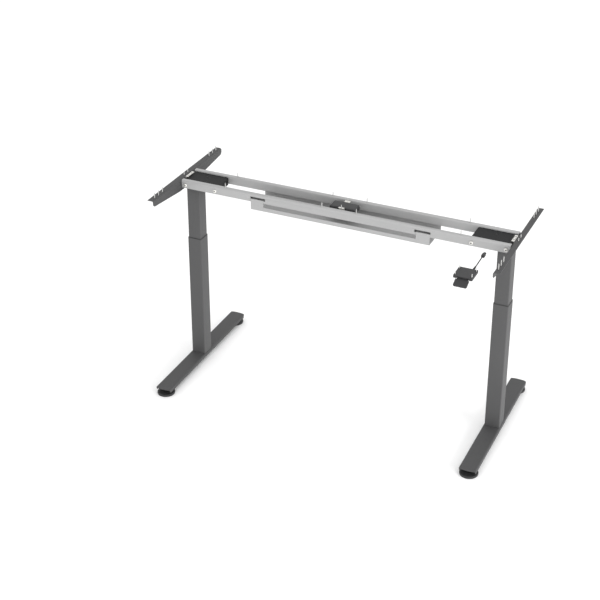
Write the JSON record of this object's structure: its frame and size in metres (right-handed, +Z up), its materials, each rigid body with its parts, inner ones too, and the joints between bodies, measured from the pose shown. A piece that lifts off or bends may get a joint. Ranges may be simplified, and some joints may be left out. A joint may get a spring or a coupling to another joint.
{
  "type": "height adjustable desk frame",
  "caption": "Electric height adjustable desk frame: telescopic columns on flat feet, cross rails, side brackets, cable tray, control box and paddle handset.",
  "frame": {"origin": "floor level, midway between the two columns", "axes": "+X to the right as the user faces the desk, -Y towards the user, +Z up"},
  "size_m": [1.524, 0.7942, 0.943],
  "materials": {
    "dark_powder_coat": "fine textured powder coat",
    "column_powder_coat": "fine textured powder coat",
    "case_paint": "semi-matte black coat",
    "silver_powder_coat": "light grey satin powder coat",
    "zinc_plate": "bright zinc plate",
    "screw_steel": "bright zinc plated screws",
    "black_steel": "black oxide",
    "bare_steel": "ground steel, light oil film",
    "natural_nylon": "natural moulded nylon",
    "black_plastic": "fine spark-eroded moulded texture",
    "glide_plastic": "moulded black plastic",
    "cord_rubber": "matte cord jacket",
    "board_green": "solder mask"
  },
  "bodies": {
    "leg_left": {"foot_left": "dark_powder_coat", "outer_tube_left": "column_powder_coat", "tube_collar_left": "black_plastic", "base_plate_left": "dark_powder_coat", "foot_bolts_left": "black_steel", "push_tube_left": "bare_steel", "spindle_nut_left": "natural_nylon", "glide_nuts_left": "zinc_plate"},
    "leg_right": {"foot_right": "dark_powder_coat", "outer_tube_right": "column_powder_coat", "tube_collar_right": "black_plastic", "base_plate_right": "dark_powder_coat", "foot_bolts_right": "black_steel", "push_tube_right": "bare_steel", "spindle_nut_right": "natural_nylon", "glide_nuts_right": "zinc_plate"},
    "spindle_left": {"spindle_left": "bare_steel", "worm_wheel_left": "natural_nylon"},
    "worm_left": {"worm_left": "bare_steel"},
    "spindle_right": {"spindle_right": "bare_steel", "worm_wheel_right": "natural_nylon"},
    "worm_right": {"worm_right": "bare_steel"},
    "glide_left_front": {"glide_left_front": "glide_plastic"},
    "glide_left_rear": {"glide_left_rear": "glide_plastic"},
    "glide_right_front": {"glide_right_front": "glide_plastic"},
    "glide_right_rear": {"glide_right_rear": "glide_plastic"},
    "paddle": {"paddle": "black_plastic"},
    "upper": {"inner_tube_left": "column_powder_coat", "inner_tube_right": "column_powder_coat", "tube_liners": "natural_nylon", "motor_left": "bare_steel", "motor_right": "bare_steel", "spindle_bearings": "bare_steel", "motor_case_left": "case_paint", "motor_case_right": "case_paint", "case_cover_left": "case_paint", "case_cover_right": "case_paint", "cover_screws": "black_steel", "rail_front": "silver_powder_coat", "rail_rear": "silver_powder_coat", "rail_bolts": "zinc_plate", "side_bracket_left": "dark_powder_coat", "side_bracket_right": "dark_powder_coat", "end_plate_left": "zinc_plate", "end_plate_right": "zinc_plate", "bracket_bolts": "black_steel", "bracket_screws": "screw_steel", "rail_screws": "screw_steel", "cable_tray": "silver_powder_coat", "control_box_base": "black_plastic", "control_box_lid": "black_plastic", "control_board": "board_green", "box_clips": "zinc_plate", "clip_screws": "screw_steel", "handset_body": "black_plastic", "handset_screws": "screw_steel", "strain_relief": "cord_rubber", "handset_cord": "cord_rubber", "cord_plug": "black_plastic", "paddle_pin": "bare_steel"}
  },
  "joints": [
    {"name": "lift", "type": "slide", "parent": "leg_left", "child": "upper", "axis": [0, 0, 1], "range_m": [-0.25, 0.25]},
    {"name": "lift_right", "type": "slide", "parent": "upper", "child": "leg_right", "axis": [0, 0, 1], "range_m": [-0.25, 0.25]},
    {"name": "spindle_left_turn", "type": "hinge", "parent": "upper", "child": "spindle_left", "pos_m": [-0.7, 0, 0.6], "axis": [0, 0, 1], "continuous": true},
    {"name": "worm_left_turn", "type": "hinge", "parent": "upper", "child": "worm_left", "pos_m": [-0.7, -0.024, 0.8955], "axis": [1, 0, 0], "continuous": true},
    {"name": "spindle_right_turn", "type": "hinge", "parent": "upper", "child": "spindle_right", "pos_m": [0.7, 0, 0.6], "axis": [0, 0, 1], "continuous": true},
    {"name": "worm_right_turn", "type": "hinge", "parent": "upper", "child": "worm_right", "pos_m": [0.7, -0.024, 0.8955], "axis": [1, 0, 0], "continuous": true},
    {"name": "glide_left_front_height", "type": "slide", "parent": "leg_left", "child": "glide_left_front", "axis": [0, 0, 1], "range_m": [0, 0.006]},
    {"name": "glide_left_rear_height", "type": "slide", "parent": "leg_left", "child": "glide_left_rear", "axis": [0, 0, 1], "range_m": [0, 0.006]},
    {"name": "glide_right_front_height", "type": "slide", "parent": "leg_right", "child": "glide_right_front", "axis": [0, 0, 1], "range_m": [0, 0.006]},
    {"name": "glide_right_rear_height", "type": "slide", "parent": "leg_right", "child": "glide_right_rear", "axis": [0, 0, 1], "range_m": [0, 0.006]},
    {"name": "paddle_press", "type": "hinge", "parent": "upper", "child": "paddle", "pos_m": [0.642, -0.3805, 0.911], "axis": [1, 0, 0], "range_deg": [-7, 7], "stiffness_Nm_per_rad": 0.3}
  ],
  "couplings": [
    {"joint": "lift_right", "follows": "lift", "ratio": -1},
    {"joint": "spindle_left_turn", "follows": "lift", "rad_per_m": 523.6},
    {"joint": "worm_left_turn", "follows": "lift", "rad_per_m": 12566},
    {"joint": "spindle_right_turn", "follows": "lift", "rad_per_m": 523.6},
    {"joint": "worm_right_turn", "follows": "lift", "rad_per_m": 12566}
  ]
}
